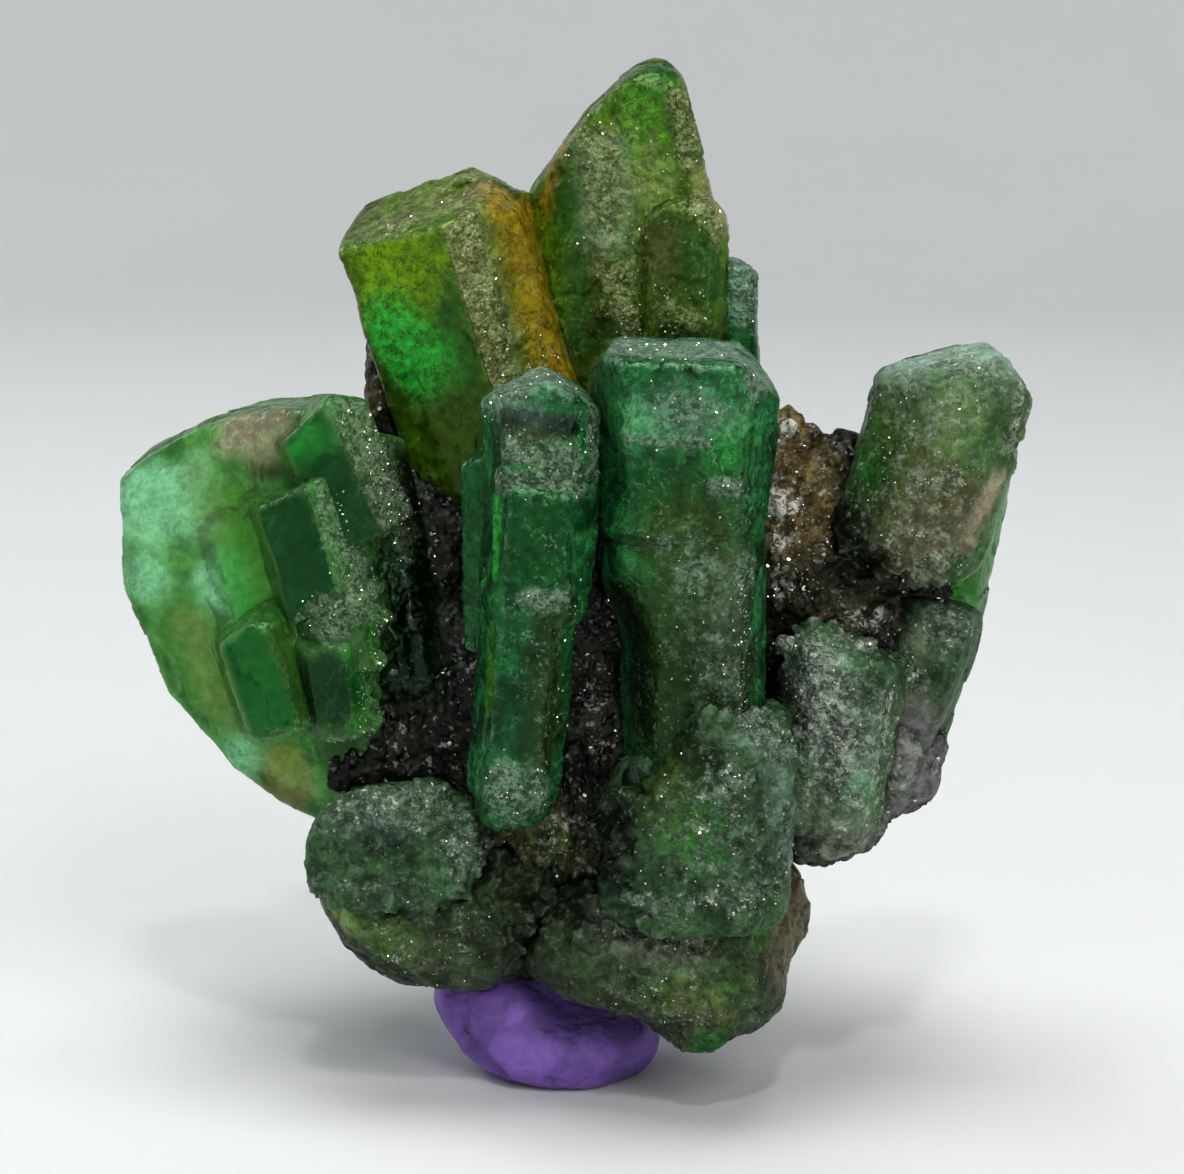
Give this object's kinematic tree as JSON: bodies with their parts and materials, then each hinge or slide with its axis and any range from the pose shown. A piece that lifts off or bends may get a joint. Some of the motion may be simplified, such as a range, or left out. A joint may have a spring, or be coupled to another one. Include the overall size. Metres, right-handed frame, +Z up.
{
  "type": "emerald in matrix",
  "caption": "Upright cluster of green beryl prisms grown in dark mica schist, standing on a squashed pat of putty, for display as a mineral specimen.",
  "frame": {"origin": "middle of the putty's flat foot, on the surface that it stands on", "axes": "+Z up, +X to the right of the displayed side, +Y to its back"},
  "size_m": [0.0523, 0.0297, 0.0599],
  "materials": {
    "green_beryl": "gloss",
    "stained_beryl": "gloss",
    "frosted_beryl": "satin",
    "mica_schist": "satin",
    "putty": "matte"
  },
  "bodies": {
    "root": {"thick_crystal": "green_beryl", "slender_crystal": "green_beryl", "side_crystal": "green_beryl", "edge_crystal": "green_beryl", "corner_crystal": "green_beryl", "fan_crystal": "green_beryl", "front_lobe_crystal": "green_beryl", "back_crystal_1": "green_beryl", "back_crystal_2": "green_beryl", "back_crystal_3": "green_beryl", "back_crystal_4": "green_beryl", "back_crystal_5": "green_beryl", "back_crystal_6": "green_beryl", "tall_crystal": "stained_beryl", "pointed_crystal": "stained_beryl", "stout_crystal": "stained_beryl", "frosted_crystal": "frosted_beryl", "stub_crystal": "frosted_beryl", "base_lobe_left": "frosted_beryl", "base_lobe_right": "frosted_beryl", "matrix": "mica_schist", "putty_stand": "putty"}
  },
  "joints": []
}
